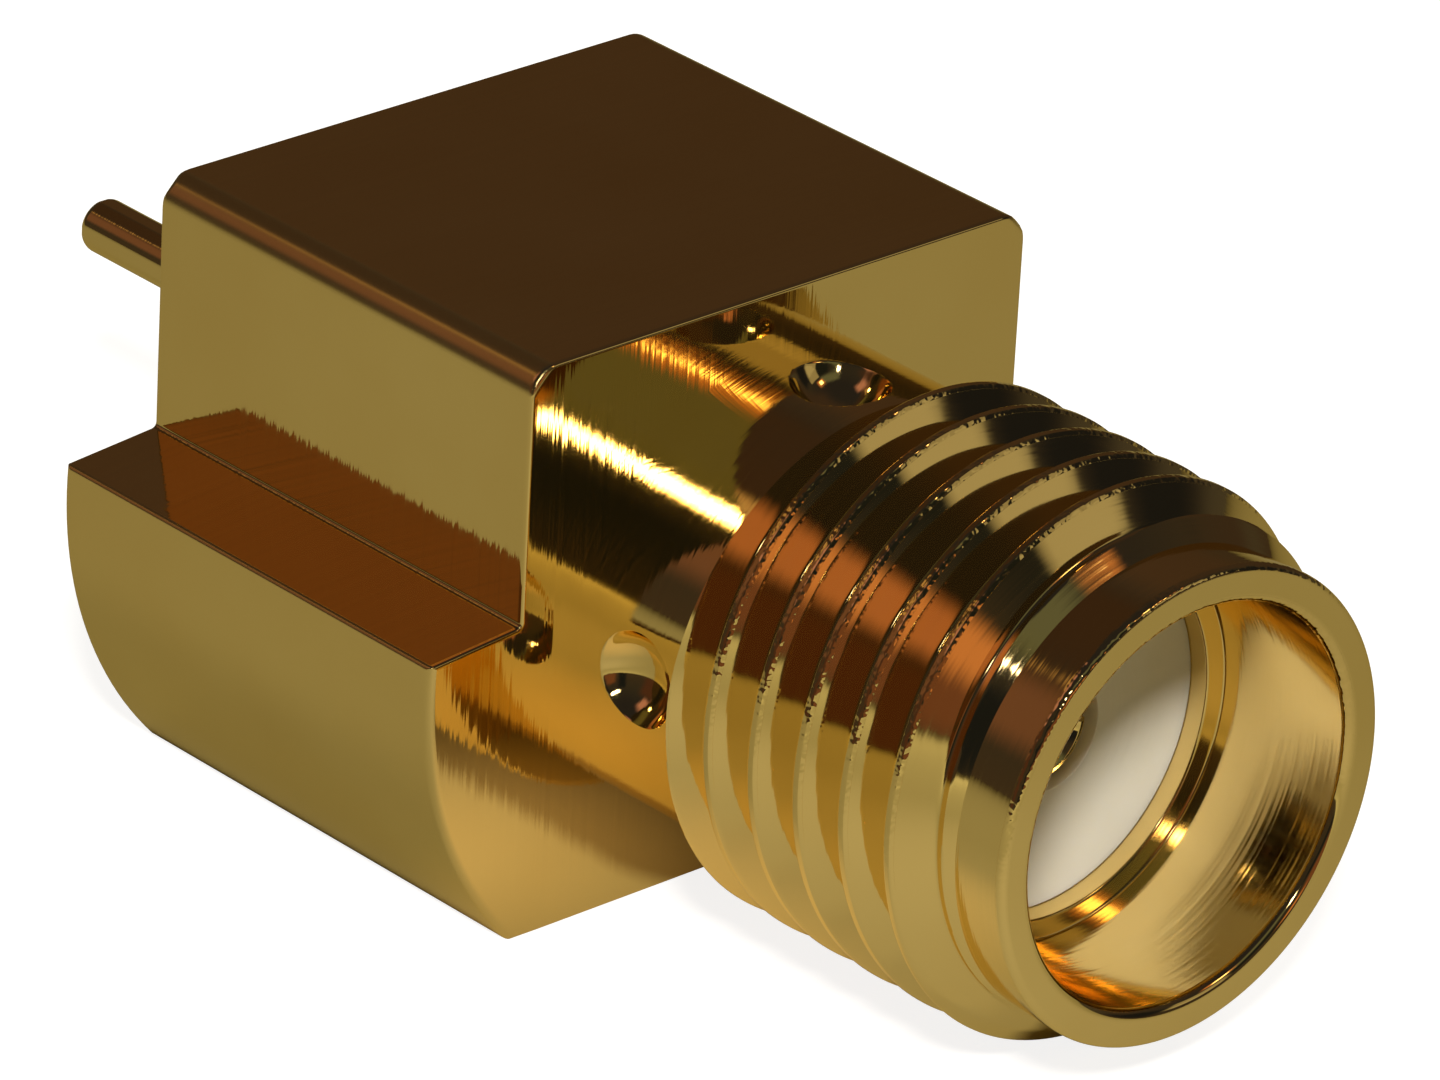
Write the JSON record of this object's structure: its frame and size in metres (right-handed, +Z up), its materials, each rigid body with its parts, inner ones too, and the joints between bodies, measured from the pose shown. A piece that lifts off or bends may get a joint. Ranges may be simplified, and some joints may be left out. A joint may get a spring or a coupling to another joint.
{
  "type": "subminiature coaxial connector",
  "caption": "Gold-plated coaxial jack with a threaded barrel, a milled block whose side ledges seat on a circuit board's edge, a white insulator and a round solder pin.",
  "frame": {"origin": "on the coaxial axis, in the plane of the shoulder at the bottom of the mouth, which is the mating reference plane", "axes": "+Y along the coaxial axis from the mouth towards the solder pin, +Z up and away from the flat bottom, +X across the block"},
  "size_m": [0.0096, 0.0182, 0.0068],
  "materials": {
    "gold_plated_brass": "turned and milled brass, bright gold plating",
    "ptfe": "white fluoropolymer, faintly waxy",
    "gold_plated_contact": "turned copper alloy, bright gold plating"
  },
  "bodies": {
    "root": {"connector_body": "gold_plated_brass", "dielectric": "ptfe", "centre_contact": "gold_plated_contact"}
  },
  "joints": []
}
